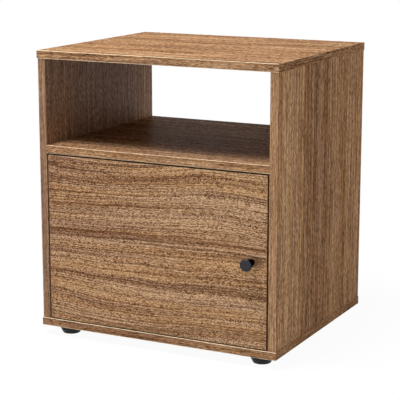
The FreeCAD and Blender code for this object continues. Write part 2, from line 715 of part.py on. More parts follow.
def hinge_arm(label):
    """Cranked channel: flat base on the plate, elbow round the door's edge, eyes for two pins."""
    body = new_body(label)
    eyes = centred(body, "arm_outside")
    slot(eyes, INNER_ARM, OUTER_ARM, "arm_eye_radius")
    pad(body, eyes, "arm_outside")
    flank = centred(body, "arm_outside")
    polygon(flank, [
        ("neck_left", "inner_arm_y"), ("neck_right", "outer_arm_y"),
        ("neck_right", "arm_elbow + arm_elbow_rise"), ("arm_back", "arm_base_start + arm_base_rise"),
        ("arm_back", "arm_base_end"), ("arm_foot", "arm_base_end"), ("arm_foot", "arm_base_start"),
        ("neck_left", "arm_elbow")])
    pad(body, flank, "arm_outside")
    channel = centred(body, "arm_inside")
    low = "inner_arm_y - arm_eye_radius - overrun"
    polygon(channel, [
        ("inner_arm_x - arm_eye_radius - overrun", low),
        ("outer_arm_x + arm_eye_radius + overrun", low),
        ("outer_arm_x + arm_eye_radius + overrun", "arm_web_start"),
        ("neck_right - hinge_sheet", "arm_web_start"),
        ("neck_right - hinge_sheet", "arm_elbow + arm_elbow_rise - arm_mitre"),
        ("arm_seat", "arm_base_start + arm_base_rise - arm_mitre"),
        ("arm_seat", "arm_base_end + overrun"),
        ("arm_foot - overrun", "arm_base_end + overrun"),
        ("arm_foot - overrun", "arm_web_start")])
    cut(body, channel, "arm_inside", 1)
    drill(body, "XY_Plane", "-arm_outside / 2", 1, "arm_outside", "pressed_pin", [INNER_ARM, OUTER_ARM])
    drill(body, "YZ_Plane", "arm_seat - overrun", 1, "hinge_sheet + 2 * overrun", "arm_screw_hole",
          [("arm_screw_place", "0"), ("arm_screw_place + arm_screw_spacing", "0")])
    return body


def mounting_plate(label):
    """Winged plate on the side board with a block that fills the arm's channel."""
    body = new_body(label)
    wings = sketch(body, "YZ_Plane", "side_face")
    slot(wings, ("plate_screw_depth", "-plate_screw_spacing / 2"),
         ("plate_screw_depth", "plate_screw_spacing / 2"), "plate_wing_radius")
    pad(body, wings, "plate_sheet")
    spine = sketch(body, "YZ_Plane", "side_face")
    rectangle(spine, "plate_screw_depth", "-plate_spine_width / 2", "plate_end", "plate_spine_width / 2")
    pad(body, spine, "plate_sheet")
    block = sketch(body, "YZ_Plane", "side_face")
    rectangle(block, "plate_block_start", "-plate_block_width / 2",
              "plate_block_end", "plate_block_width / 2")
    pad(body, block, "arm_seat - side_face")
    drill(body, "YZ_Plane", "side_face", 1, "plate_sheet + overrun", "wood_pilot",
          [("plate_screw_depth", sign + "plate_screw_spacing / 2") for sign in END_SIGNS])
    drill(body, "YZ_Plane", "arm_seat", -1, "arm_screw_length", "arm_screw_hole",
          [("arm_screw_place", "0"), ("arm_screw_place + arm_screw_spacing", "0")])
    return body


HINGE_PIECES = {"hinge_cup": hinge_cup, "hinge_inner_link": inner_link, "hinge_outer_link": outer_link,
                "hinge_arm": hinge_arm, "hinge_plate": mounting_plate}
for level, height in HINGE_HEIGHTS.items():
    for piece, make in HINGE_PIECES.items():
        nodes.append(hang(make("%s_%s" % (level, piece)), height))


# Rivet pins of the hinges, plain rounds standing on Z = 0
def pin(label, length):
    body = new_body(label)
    round_bar = sketch(body, "XY_Plane")
    circle(round_bar, "0", "0", "pin_radius")
    pad(body, round_bar, length)
    return body


STUB_LENGTH = "(cup_pin_length - stirrup_inside) / 2"
inner_cup_pin = pin("inner_cup_pin_master", "cup_pin_length")
outer_cup_stub = pin("outer_cup_stub_master", STUB_LENGTH)
inner_arm_pin = pin("inner_arm_pin_master", "arm_outside")
outer_arm_pin = pin("outer_arm_pin_master", "stirrup_outside")

# Magnetic catch: an eared housing under the shelf that holds a magnet between two pole plates
catch = new_body("catch_housing")
hat = sketch(catch, "XZ_Plane")
polygon(hat, [
    ("-catch_length / 2", "0"), ("-catch_length / 2", "-catch_ear_height"),
    ("-catch_core_length / 2", "-catch_ear_height"), ("-catch_core_length / 2", "-catch_height"),
    ("catch_core_length / 2", "-catch_height"), ("catch_core_length / 2", "-catch_ear_height"),
    ("catch_length / 2", "-catch_ear_height"), ("catch_length / 2", "0")])
pad(catch, hat, "catch_depth")
magnet_bay = sketch(catch, "XZ_Plane")
rectangle(magnet_bay, "-catch_bay_length / 2", "-catch_middle - catch_bay_height / 2",
          "catch_bay_length / 2", "catch_bay_height / 2 - catch_middle")
cut(catch, magnet_bay, "catch_bay_depth", 1)
drill(catch, "XY_Plane", "0", -1, "catch_ear_height + overrun", "wood_pilot",
      [(sign + "catch_screw_spacing / 2", "catch_depth / 2") for sign in END_SIGNS])
nodes.append(place(catch, "catch_x", "catch_y", "shelf_under_z"))

magnet = new_body("catch_magnet")
magnet_outline = sketch(magnet, "XZ_Plane")
rectangle(magnet_outline, "-magnet_length / 2", "-magnet_height / 2",
          "magnet_length / 2", "magnet_height / 2")
pad(magnet, magnet_outline, "magnet_depth")
nodes.append(place(magnet, "catch_x", "catch_y + catch_bay_depth - magnet_depth", "strike_z"))

pole = new_body("pole_master")
pole_outline = sketch(pole, "XY_Plane")
rectangle(pole_outline, "-magnet_length / 2", "0", "magnet_length / 2", "pole_depth")
pad(pole, pole_outline, "pole_thickness")

# Strike: a flat steel plate on the door's back face
strike = new_body("strike_plate")
strike_outline = sketch(strike, "XZ_Plane")
rectangle(strike_outline, "-strike_length / 2", "-strike_height / 2",
          "strike_length / 2", "strike_height / 2")
pad(strike, strike_outline, "strike_thickness")
drill(strike, "XZ_Plane", "0", 1, "strike_thickness", "wood_pilot",
      [(sign + "catch_screw_spacing / 2", "0") for sign in END_SIGNS])
nodes.append(place(strike, "catch_x", "front + panel_thickness", "strike_z"))
doc.recompute()

# Groups of like fasteners, each a node of separate solids
SIDES = ("-side_middle_x", "side_middle_x")
SHELF_ENDS = (("-inner_x", "-", RIGHT), ("inner_x", "+", LEFT))
SHELF_MIDDLE = "shelf_under_z + board_middle"


def joined(label, groups):
    """Gather several sets of copies into one node."""
    whole = doc.addObject("Part::Feature", label)
    whole.Label = label
    whole.Shape = Part.makeCompound([solid for group in groups for solid in group.Shape.Solids])
    for group in groups:
        doc.removeObject(group.Name)
    nodes.append(whole)


top_pegs = [(x, "front + " + spot, "top_under_z + dowel_face_depth - dowel_length")
            for x in SIDES for spot in THREE_DEEP]
floor_pegs = [(x, "front + " + spot, "floor_z - dowel_face_depth") for x in SIDES for spot in FRONT_AND_BACK]
shelf_pegs = [
    copies("shelf_pegs", dowel, [("%s %s dowel_face_depth" % (x, sign), "front + " + spot, SHELF_MIDDLE)
                                 for spot in FRONT_AND_BACK], heading)
    for x, sign, heading in SHELF_ENDS]
joined("dowels", [copies("pegs", dowel, top_pegs + floor_pegs)] + shelf_pegs)
joined("cam_bolts", [
    copies("bolts", bolt, [(x, "front + " + spot, SHELF_MIDDLE) for spot in CAM_PLACES], heading)
    for x, sign, heading in SHELF_ENDS])
joined("cam_discs", [
    copies("cams", cam, [(x, "front + " + spot, "shelf_under_z") for spot in CAM_PLACES], heading)
    for x, heading in (("cam_distance - inner_x", UP), ("inner_x - cam_distance", HALF_TURN))])
nodes.append(copies("connector_screws", connector,
                    [(x, "front + " + spot, "foot_height + connector_head_height")
                     for x in SIDES for spot in CONNECTOR_PLACES], DOWN))
nodes.append(copies("foot_screws", wood_screw,
                    [(x, "front - front_overhang + " + y, "foot_height - foot_web")
                     for x, y in FOOT_SPOTS.values()], DOWN))
nodes.append(copies("knob_screw", knob_screw, [
    ("knob_x - door_width / 2", "front + panel_thickness", "door_bottom_z + door_height / 2")], BACK))

HINGE_X, HINGE_Y = "-inner_x - side_face", "front + panel_thickness"


def at_hinges(spots):
    """Spots in the hinge frame, repeated at both hinges."""
    return [("%s + %s" % (HINGE_X, x), "%s + %s" % (HINGE_Y, y), "%s + %s" % (height, z))
            for height in HINGE_HEIGHTS.values() for x, y, z in spots]


nodes.append(copies("plate_screws", wood_screw, at_hinges(
    [("side_face + plate_sheet", "plate_screw_depth", sign + "plate_screw_spacing / 2")
     for sign in END_SIGNS]), RIGHT))
nodes.append(copies("arm_screws", arm_screw, at_hinges(
    [("arm_back", spot, "0") for spot in ("arm_screw_place", "arm_screw_place + arm_screw_spacing")]), RIGHT))
nodes.append(copies("cup_screws", wood_screw, at_hinges(
    [("cup_screw_offset", "cup_flange", sign + "cup_screw_spacing / 2") for sign in END_SIGNS]), BACK))
nodes.append(copies("inner_cup_pins", inner_cup_pin, at_hinges([INNER_CUP + ("-cup_pin_length / 2",)])))
nodes.append(copies("outer_cup_stubs", outer_cup_stub, at_hinges(
    [OUTER_CUP + (start,) for start in ("-cup_pin_length / 2", "stirrup_inside / 2")])))
nodes.append(copies("inner_arm_pins", inner_arm_pin, at_hinges([INNER_ARM + ("-arm_outside / 2",)])))
nodes.append(copies("outer_arm_pins", outer_arm_pin, at_hinges([OUTER_ARM + ("-stirrup_outside / 2",)])))
nodes.append(copies("catch_poles", pole, [
    ("catch_x", "catch_y - pole_protrusion", "strike_z " + level)
    for level in ("+ magnet_height / 2", "- magnet_height / 2 - pole_thickness")]))
nodes.append(copies("catch_screws", wood_screw, [
    ("catch_x %s catch_screw_spacing / 2" % sign, "catch_y + catch_depth / 2",
     "shelf_under_z - catch_ear_height") for sign in "+-"], DOWN))
nodes.append(copies("strike_screws", wood_screw, [
    ("catch_x %s catch_screw_spacing / 2" % sign, "front + panel_thickness + strike_thickness", "strike_z")
    for sign in "+-"], BACK))
doc.recompute()

# Every feature is sound, and every cut removes material, before anything is written
for item in doc.Objects:
    if {"Invalid", "Error"} & set(item.State):
        raise RuntimeError("%s (%s) failed: %s" % (item.Label, item.Name, item.State))
    if item.TypeId == "PartDesign::Pocket" and item.Shape.Volume >= item.BaseFeature.Shape.Volume:
        raise RuntimeError("%s cuts nothing" % item.Name)
for node in nodes:
    if node.Shape.isNull() or not node.Shape.isValid():
        raise RuntimeError(node.Label + " has no sound shape")

os.makedirs("parts", exist_ok=True)
for node in nodes:
    node.Shape.exportStep("parts/%s.step" % node.Label)
print(len(nodes), "sub-parts written")
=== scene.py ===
import json
import math

import bpy
import numpy as np
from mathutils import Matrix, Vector

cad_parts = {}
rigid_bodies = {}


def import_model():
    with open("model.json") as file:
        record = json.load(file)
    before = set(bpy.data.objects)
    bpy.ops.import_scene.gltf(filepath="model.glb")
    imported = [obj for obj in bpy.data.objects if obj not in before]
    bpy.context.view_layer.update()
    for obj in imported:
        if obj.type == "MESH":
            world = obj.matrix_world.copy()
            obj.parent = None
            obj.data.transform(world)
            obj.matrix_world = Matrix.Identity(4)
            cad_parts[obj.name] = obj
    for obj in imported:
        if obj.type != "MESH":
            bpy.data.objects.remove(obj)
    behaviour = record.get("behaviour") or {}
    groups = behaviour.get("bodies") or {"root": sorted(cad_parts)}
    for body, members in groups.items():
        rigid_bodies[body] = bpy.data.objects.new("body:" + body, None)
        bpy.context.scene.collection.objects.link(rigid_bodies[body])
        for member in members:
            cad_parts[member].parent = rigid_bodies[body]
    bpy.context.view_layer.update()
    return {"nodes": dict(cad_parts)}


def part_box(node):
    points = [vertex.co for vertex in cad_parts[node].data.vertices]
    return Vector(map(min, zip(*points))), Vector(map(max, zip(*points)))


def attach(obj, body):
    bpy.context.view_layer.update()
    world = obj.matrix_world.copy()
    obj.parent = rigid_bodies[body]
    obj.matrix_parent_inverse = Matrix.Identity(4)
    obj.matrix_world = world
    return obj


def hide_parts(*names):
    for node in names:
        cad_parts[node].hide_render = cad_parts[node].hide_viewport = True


# Blender's own start-up objects go before the frame comes in.
for leftover in list(bpy.data.objects):
    bpy.data.objects.remove(leftover)
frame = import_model()
nodes = frame["nodes"]


# Bottom panel: 15 mm chipboard under the whole cabinet, wrapped in a printed walnut foil with the
# grain from side to side. Thin bands close its edges, and their bevelled corners are painted paler
# than the faces, a painted highlight along the edges.
class Field:
    """One output of a material's nodes; sums and products of fields add Math nodes to it."""

    def __init__(self, tree, socket=None):
        self.tree, self.socket = tree, socket

    def node(self, kind, inputs, settings=None, output=0):
        """Add a node of a kind: its settings first, then the values or links of its sockets."""
        made = self.tree.nodes.new(kind)
        for name, setting in (settings or {}).items():
            if name == "stops":
                ramp = made.color_ramp.elements
                while len(ramp) < len(setting):
                    ramp.new(1.0)
                for stop, (place, tint) in zip(ramp, setting):
                    stop.position, stop.color = place, tint
            else:
                setattr(made, name, setting)
        for name, given in inputs.items():
            if isinstance(given, Field):
                self.tree.links.new(given.socket, made.inputs[name])
            else:
                made.inputs[name].default_value = given
        return Field(self.tree, made.outputs[output])

    def math(self, operation, *values):
        """Add a Math node on fields or numbers."""
        return self.node("ShaderNodeMath", dict(enumerate(values)), {"operation": operation})

    def __add__(self, other):
        return self.math("ADD", self, other)

    def __sub__(self, other):
        return self.math("SUBTRACT", self, other)

    def __rsub__(self, other):
        return self.math("SUBTRACT", other, self)

    def __mul__(self, other):
        return self.math("MULTIPLY", self, other)

    __radd__, __rmul__ = __add__, __mul__

    def size(self):
        """The value without its sign."""
        return self.math("ABSOLUTE", self)

    def over(self, limit):
        """1 where the value is over the limit, and 0 elsewhere."""
        return self.math("GREATER_THAN", self, limit)

    def ease(self, low, high):
        """Rise smoothly from 0 at low to 1 at high."""
        return self.node("ShaderNodeMapRange", {"Value": self, "From Min": low, "From Max": high},
                         {"interpolation_type": "SMOOTHSTEP"})

    def ramp(self, stops):
        """The colours of the stops, by this field."""
        return self.node("ShaderNodeValToRGB", {"Fac": self}, {"stops": stops}, "Color")

    def mix(self, first, second, blend="MIX"):
        """Go from the first colour to the second by this field."""
        return self.node("ShaderNodeMix", {"Factor": self, "A": first, "B": second},
                         {"data_type": "RGBA", "blend_type": blend}, "Result")


def colour(red, green, blue):
    """A display colour of 0 to 255 as linear light, by the sRGB curve."""
    shown = np.array([red, green, blue]) / 255
    linear = np.where(shown <= 0.04045, shown / 12.92, ((shown + 0.055) / 1.055) ** 2.4)
    return (*linear.tolist(), 1.0)


def new_finish(name):
    """A material with a bare Principled shader: itself, the field to start from, the sockets."""
    finish = bpy.data.materials.new(name)
    finish.use_nodes = True
    return finish, Field(finish.node_tree), finish.node_tree.nodes["Principled BSDF"].inputs


def link(field, socket):
    """Feed a shader's socket from a field."""
    field.tree.links.new(field.socket, socket)


def coordinates(start, output):
    """The three parts of the place on the piece, Object, or of the way it faces, Normal."""
    vector = start.node("ShaderNodeTexCoord", {}, output=output)
    return {axis: start.node("ShaderNodeSeparateXYZ", {"Vector": vector}, output=axis)
            for axis in "XYZ"}


def grain_noise(start, along, across, deep, length, width, detail):
    """Noise drawn out along the grain: cells of a length and a width in metres."""
    stretched = start.node("ShaderNodeCombineXYZ", {
        "X": along * (1 / length), "Y": across * (1 / width), "Z": deep * (1 / width)})
    return start.node("ShaderNodeTexNoise", {"Vector": stretched, "Scale": 1.0, "Detail": detail})


def relief(start, height, strength, distance, shader):
    """Bump a surface by a field, with the distance in metres."""
    link(start.node("ShaderNodeBump", {"Strength": strength, "Distance": distance, "Height": height}),
         shader["Normal"])


def dress(finish, *names):
    """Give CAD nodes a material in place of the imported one."""
    for name in names:
        nodes[name].data.materials[0] = finish


WALNUT = [(0.0, colour(78, 51, 33)), (0.25, colour(123, 88, 61)), (0.5, colour(153, 116, 86)),
          (0.75, colour(180, 142, 109)), (1.0, colour(213, 178, 142))]
MAUVE_TINT, GOLD_TINT = colour(226, 216, 226), colour(255, 247, 231)
# The second colour on the next line is a painted highlight for the bevelled edges of the boards.
PORE_BROWN, PAINTED_EDGE_HIGHLIGHT = colour(74, 46, 28), colour(244, 224, 190)


def walnut_foil(board, grain, face, seed, layers, bend=1.0, edge_highlight=0.75, bands=-0.06, cast=None,
                sheen=0.02):
    """Dress a board in printed walnut, a sum of noises that are drawn out along the grain axis.

    grain and face name the axes of the grain and of the large faces. The edge bands have their
    own print, whose grain runs along the edge. seed slides the print. layers lists the length,
    width, detail and weight of each noise, from broad bands to crisp pores. bend says how far
    the lines sway, edge_highlight how pale the bevelled edges are painted as a painted highlight,
    bands how much darker the edge bands are, cast adds broad shades by the spot, and sheen is how
    much the lacquer shows.
    """
    finish, start, shader = new_finish("walnut_foil_" + board)
    spot, turned = coordinates(start, "Object"), coordinates(start, "Normal")
    third = next(axis for axis in "XYZ" if axis not in (grain, face))
    end = turned[grain].size().over(0.7)
    band = 1.0 - turned[face].size().over(0.6)

    # Each band's print is slid apart from the face's, and a third as coarse.
    slid_along, slid_across, narrowing = 0.23, 0.37, 3.0
    narrowed = band * (narrowing - 1.0) + 1.0
    along = spot[grain] + end * (spot[third] - spot[grain]) + (band * slid_along + seed)
    across = spot[third] + end * (spot[grain] - spot[third]) + band * slid_across
    deep = spot[face]

    # The lines sway broadly, ripple finely, and are staggered, by these reaches in metres.
    sway_reach, ripple_reach, stagger_reach = 0.045, 0.004, 0.04
    sway = grain_noise(start, along, across, deep, length=0.45, width=0.25, detail=1.0) - 0.5
    ripple = grain_noise(start, along, across, deep, length=0.080, width=0.020, detail=1.0) - 0.5
    across = (across + (sway * sway_reach + ripple * ripple_reach) * bend) * narrowed
    deep = deep * narrowed
    stagger = grain_noise(start, along, across, deep, length=0.30, width=0.004, detail=0.0)
    along = along + stagger * stagger_reach

    # The last layer is cut crisp for the pores, and the one before it gives the fine lines.
    prints = [grain_noise(start, along, across, deep, length, width, detail) - 0.5
              for length, width, detail, weight in layers]
    weights = [weight for length, width, detail, weight in layers]
    prints[-1] = prints[-1].ease(-0.15, 0.15) - 0.5
    lines, specks = prints[-2:]
    pores = specks.ease(-0.2, -0.5)
    shade = prints[0] * weights[0]
    if cast:
        shade = shade + cast(spot) * (1.0 - band)
    tone = shade + 0.5 + band * bands
    for noise, weight in zip(prints[1:], weights[1:]):
        tone = tone + noise * weight

    # Dark bands lean to mauve, some long streaks to gold, and the pores are sunk and brown.
    printed = tone.ramp(WALNUT)
    printed = (shade.ease(0.02, -0.20) * 0.6).mix(printed, MAUVE_TINT, "MULTIPLY")
    gold = grain_noise(start, along, across, deep, length=0.45, width=0.014, detail=1.0)
    printed = gold.ease(0.35, 0.65).mix(printed, GOLD_TINT, "MULTIPLY")
    printed = (pores * 0.2).mix(printed, PORE_BROWN)

    # A spot is on a bevel where it lies within about a millimetre of two faces. The bevels are
    # painted pale there, a painted highlight along the edges, flecked by the pores' print.
    bevel_from, bevel_to = 0.0013, 0.0005
    depths = [(high - low) / 2 - (spot[axis] - (low + high) / 2).size()
              for axis, low, high in zip("XYZ", *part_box(board)) if axis != grain]
    bevel = start.math("MAXIMUM", *depths).ease(bevel_from, bevel_to)
    printed = (bevel * (specks * 0.5 + 1.0) * edge_highlight).mix(printed, PAINTED_EDGE_HIGHLIGHT)
    link(printed, shader["Base Color"])
    link(pores * 0.12 + lines * 0.15 + 0.58, shader["Roughness"])
    shader["Specular IOR Level"].default_value = 0.0
    link(sheen - pores * (sheen * 0.75), shader["Coat Weight"])
    shader["Coat Roughness"].default_value = 0.45
    relief(start, lines * 0.4 - pores, 0.2, 0.0003, shader)
    dress(finish, board)


FLAT_GRAIN = [(0.70, 0.040, 1.0, 0.5), (0.35, 0.011, 1.0, 0.5), (0.20, 0.0040, 1.0, 1.0),
              (0.0060, 0.0022, 0.0, 0.60)]
walnut_foil("bottom_panel", "X", "Z", 1.31, FLAT_GRAIN)


# Feet: four moulded black plastic pucks that taper in to the floor, each held up through its
# recess by one screw. The mould leaves a fine matt grain.
def shades(tint, low, high):
    """A display colour made darker and lighter, as two colours."""
    return [colour(*(part * share for part in tint)) for share in (low, high)]


def fine_grained(name, tint, gloss, grain, metal=0.0, rim=1.0):
    """A fine even grain in the colour, the gloss and the relief, with cells of a grain in metres.

    rim tones down what a metal mirrors where it is seen edge-on.
    """
    finish, start, shader = new_finish(name)
    shader["Specular IOR Level"].default_value = 0.2
    shader["Metallic"].default_value = metal
    shader["Specular Tint"].default_value = (rim, rim, rim, 1.0)
    places = start.node("ShaderNodeTexCoord", {}, output="Object")
    pits = start.node("ShaderNodeTexNoise", {"Vector": places, "Scale": 1 / grain, "Detail": 2.0})
    link(pits.mix(*shades(tint, 0.8, 1.2)), shader["Base Color"])
    link(pits * 0.2 + (gloss - 0.1), shader["Roughness"])
    relief(start, pits, 0.15, 0.0001, shader)
    return finish


dress(fine_grained("foot_plastic", (20, 20, 21), gloss=0.52, grain=0.0009),
      "foot_front_left", "foot_front_right", "foot_back_left", "foot_back_right")


# Foot screws: zinc-plated wood screws with a domed, cross-recessed head, driven up through the
# recess of each foot into the bottom panel.
def plated(name, tint, gloss, length, width, axis):
    """Plated metal: faint rolling lines of a length and a width along an axis, and blotches."""
    finish, start, shader = new_finish(name)
    spot = coordinates(start, "Object")
    others = [spot[other] for other in "XYZ" if other != axis]
    lines = grain_noise(start, spot[axis], *others, length, width, detail=1.0)
    blotch = grain_noise(start, spot[axis], *others, length=0.012, width=0.012, detail=2.0)
    mixed = lines * 0.6 + blotch * 0.4
    link(mixed.mix(*shades(tint, 0.9, 1.08)), shader["Base Color"])
    link(mixed * 0.24 + (gloss - 0.12), shader["Roughness"])
    shader["Metallic"].default_value = 1.0
    relief(start, lines, 0.12, 0.00005, shader)
    return finish


def screw_grid(head, rise, shank, length, pitch):
    """One screw on the Z axis with the head's seat at Z = 0: points by angle and by station.

    Stations run from the middle of the head to its rim, under the head, and down the shank.
    The dome's height is rise * (1 - t * t / 2) at the share t of its radius, less the depth of
    a cross. The shank's radius falls off from each crest of a thread that climbs one pitch a
    turn, and never leaves the cone of the tip.
    """
    around, rings, stations_a_pitch = 40, 16, 8
    arm_half, arm_slope, arm_reach, reach_slope, cross_depth = 0.16, 0.06, 0.66, 0.12, 0.55
    rim_share, thread_depth, thread_slope = 0.25, 0.24, 1.5
    angle = np.linspace(0.0, 2 * np.pi, around, endpoint=False)[:, None]
    share = np.linspace(0.03, 1.0, rings)[None, :]
    x, y = share * np.cos(angle), share * np.sin(angle)
    arm = np.clip((arm_half - np.minimum(abs(x), abs(y))) / arm_slope, 0, 1)
    cross = arm * np.clip((arm_reach - share) / reach_slope, 0, 1)
    head_r = head * share + 0 * angle
    head_z = rise * (1 - share ** 2 / 2) - cross_depth * rise * cross
    rim_r = np.array([[head, head, shank]]) + 0 * angle
    rim_z = np.array([[rise * rim_share, 0.0, 0.0]]) + 0 * angle
    down = np.linspace(0.02, 0.995, int(stations_a_pitch * length / pitch))[None, :] * length
    turn = np.abs((down / pitch + angle / (2 * np.pi)) % 1.0 - 0.5) * 2
    shank_r = np.minimum(shank * (1 - thread_depth * np.clip(thread_slope * turn, 0, 1)),
                         length - down)
    shank_z = -down + 0 * angle
    radius = np.hstack([head_r, rim_r, shank_r])
    height = np.hstack([head_z, rim_z, shank_z])
    return np.stack([radius * np.cos(angle), radius * np.sin(angle), height], axis=2)


def screws(name, body, spots, heading, sizes):
    """Set screws at spots in millimetres, their heads to one heading, in place of a CAD node."""
    grid = screw_grid(**sizes)
    around, stations = grid.shape[:2]
    turn = np.array(Vector((0, 0, 1)).rotation_difference(Vector(heading)).to_matrix())
    points = (grid.reshape(1, -1, 3) @ turn.T + np.array(spots)[:, None, :]) * 0.001
    a, s = np.meshgrid(np.arange(around), np.arange(stations - 1), indexing="ij")
    after = (a + 1) % around
    quads = np.stack([a * stations + s, a * stations + s + 1, after * stations + s + 1,
                      after * stations + s], axis=2).reshape(1, -1, 4)
    starts = np.arange(len(spots))[:, None] * (around * stations)
    ring = np.arange(around) * stations
    caps = np.vstack([starts + ring[None, :], starts + ring[None, ::-1] + stations - 1])
    faces = (quads + starts[:, :, None]).reshape(-1, 4).tolist() + caps.tolist()
    mesh = bpy.data.meshes.new(name)
    mesh.from_pydata(points.reshape(-1, 3), [], faces)
    mesh.materials.append(SCREW_STEEL)
    piece = bpy.data.objects.new(name, mesh)
    bpy.context.scene.collection.objects.link(piece)
    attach(piece, body)
    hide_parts(name.removeprefix("cross_recess_"))


SCREW_STEEL = plated("screw_steel", (196, 197, 200), gloss=0.34, length=0.004, width=0.0004, axis="Z")
WOOD_SCREW = dict(head=3.4, rise=2.0, shank=1.75, length=12.0, pitch=1.6)
DOWN = (0, 0, -1)
screws("cross_recess_foot_screws", "carcass",
       [(x, y, 13.0) for x in (-202.3, 202.3) for y in (-157.55, 182.45)], DOWN, WOOD_SCREW)

# Side boards: the same foil on 15 mm board with the grain upright, in long straight streaks, also
# on the front edge bands. They stand on the bottom panel.
UPRIGHT_GRAIN = [(2.00, 0.030, 1.0, 0.3), (0.065, 0.0026, 0.0, 0.75), (0.70, 0.0026, 1.0, 1.0),
                 (0.0070, 0.0018, 0.0, 0.35)]
walnut_foil("left_side_panel", "Z", "X", 2.17, UPRIGHT_GRAIN, bend=0.15, edge_highlight=0.1, bands=-0.2,
            sheen=0.6)


def right_side_shades(spot):
    """Palest along the front, darkest in the middle, and a little paler again to the back."""
    return 0.15 - spot["Y"].ease(-0.11, -0.05) * 0.20 + spot["Y"].ease(0.02, 0.08) * 0.08


walnut_foil("right_side_panel", "Z", "X", 3.05, UPRIGHT_GRAIN, bend=0.15, edge_highlight=0.1, bands=0.04,
            cast=right_side_shades, sheen=0.04)

# Connector screws: long zinc-plated screws with broad heads, sunk into the underside of the
# bottom panel and driven up into the end of each side board.
CONNECTOR = dict(head=4.9, rise=3.0, shank=3.15, length=45.0, pitch=3.0)
screws("cross_recess_connector_screws", "carcass",
       [(x, y, 21.0) for x in (-236.0, 236.0) for y in (-87.05, 113.45)], DOWN, CONNECTOR)


# Dowels: turned beech pegs, glued into the ends of the sides and of the shelf to keep the boards
# in line. None shows once the boards are together.
def beech():
    """Pale wood with short brown flecks."""
    finish, start, shader = new_finish("beech")
    spot = coordinates(start, "Object")
    flecks = grain_noise(start, spot["Z"], spot["X"], spot["Y"], length=0.004, width=0.0008, detail=2.0)
    link(flecks.mix(colour(186, 146, 104), colour(222, 190, 148)), shader["Base Color"])
    link(flecks * 0.2 + 0.5, shader["Roughness"])
    relief(start, flecks, 0.2, 0.0001, shader)
    return finish


dress(beech(), "dowels")

# Cubby shelf: roof of the compartment and floor of the open cubby, foil on 15 mm board with the
# grain from side to side, pulled tight between the sides.
walnut_foil("cubby_shelf", "X", "Z", 4.43, FLAT_GRAIN, edge_highlight=0.5, sheen=0.05)

# Cam fittings: die-cast zinc bolts in the sides and slotted discs let into the shelf's underside,
# which draw the bolts in when they are turned.
dress(plated("cast_zinc", (168, 168, 170), gloss=0.52, length=0.0012, width=0.0012, axis="Z"),
      "cam_bolts", "cam_discs")


# Back of the compartment: 3 mm hardboard slid into grooves in the boards round it. A walnut print
# faces inwards, and the back shows bare pressed fibre with the mark of a wire screen.
def hardboard():
    """Print on the side that looks to the door, and brown fibre with a woven dimple behind."""
    wire_pitch = 0.0016
    finish, start, shader = new_finish("hardboard")
    spot, turned = coordinates(start, "Object"), coordinates(start, "Normal")
    lying = (spot["X"], spot["Z"], spot["Y"])
    inside = (turned["Y"] * -1.0).over(0.5)
    figure = grain_noise(start, *lying, length=0.20, width=0.012, detail=3.0)
    fibres = grain_noise(start, *lying, length=0.016, width=0.0030, detail=2.0)
    printed = (figure * 0.7 + fibres * 0.6 - 0.15).ramp(WALNUT)
    pulp = grain_noise(start, *lying, length=0.004, width=0.004, detail=4.0)
    bare = pulp.mix(colour(98, 68, 44), colour(150, 112, 78))
    link(inside.mix(bare, printed), shader["Base Color"])
    link(pulp * 0.2 + 0.55, shader["Roughness"])
    shader["Specular IOR Level"].default_value = 0.15
    wires = [start.math("SINE", spot[axis] * (2 * math.pi / wire_pitch)) for axis in "XZ"]
    relief(start, wires[0] * wires[1] * (1.0 - inside) + pulp * 0.6, 0.25, 0.0003, shader)
    return finish


dress(hardboard(), "back_panel")

# Top panel: foil on 15 mm board laid over the sides and doweled to them, a little proud of them
# all round, with the grain from side to side in fine golden streaks.
TOP_GRAIN = [(0.70, 0.040, 1.0, 0.4), (0.28, 0.020, 1.0, 0.40), (0.11, 0.0095, 0.0, 0.50),
             (0.25, 0.0040, 1.0, 1.0), (0.0070, 0.0022, 0.0, 0.60)]
walnut_foil("top_panel", "X", "Z", 5.29, TOP_GRAIN, bend=0.6)

# Hinge plates and arms: pressed steel, nickel plated. A winged plate is screwed to the left side
# board, and the arm over it, set by two screws, carries the inner and the outer link on rivets.
NICKEL = plated("hinge_steel", (201, 197, 190), gloss=0.28, length=0.010, width=0.0005, axis="Y")
dress(NICKEL, *(f"{height}_hinge_{piece}" for height in ("lower", "upper")
                for piece in ("plate", "arm", "inner_link", "outer_link")),
      "inner_arm_pins", "outer_arm_pins")
HINGE_HEIGHTS = (105.0, 281.0)
TO_THE_RIGHT = (1, 0, 0)
ARM_SCREW = dict(head=3.2, rise=2.0, shank=1.95, length=9.0, pitch=1.0)
screws("cross_recess_plate_screws", "carcass",
       [(-226.5, -140.05, z + side) for z in HINGE_HEIGHTS for side in (-16, 16)],
       TO_THE_RIGHT, WOOD_SCREW)
screws("cross_recess_arm_screws", "carcass",
       [(-213.3, y, z) for z in HINGE_HEIGHTS for y in (-129.05, -115.05)],
       TO_THE_RIGHT, ARM_SCREW)


# Door: an inset 15 mm board with the grain from side to side. Its print has broad wavy bands and
# long fine lines, and the darkest band runs through its middle.
def door_shades(spot):
    """A little paler to the right, a darker belt above the middle, a paler one near the foot."""
    belt = spot["Z"].ease(0.184, 0.204) * (spot["Z"].ease(0.244, 0.222) * 0.10)
    low_belt = spot["Z"].ease(0.060, 0.085) * (spot["Z"].ease(0.130, 0.105) * 0.08)
    return spot["X"] * 0.25 - 0.01 - belt + low_belt


DOOR_GRAIN = [(0.90, 0.014, 1.0, 0.50), (0.45, 0.0055, 1.0, 0.34), (0.30, 0.0018, 0.0, 1.30),
              (0.0020, 0.0009, 0.0, 0.90)]
# The door's edge bands are painted much darker than its faces: painted shade for the gaps round the
# door.
walnut_foil("door_panel", "X", "Y", 5.02, DOOR_GRAIN, bend=1.8, edge_highlight=0.1, bands=-0.5,
            cast=door_shades)

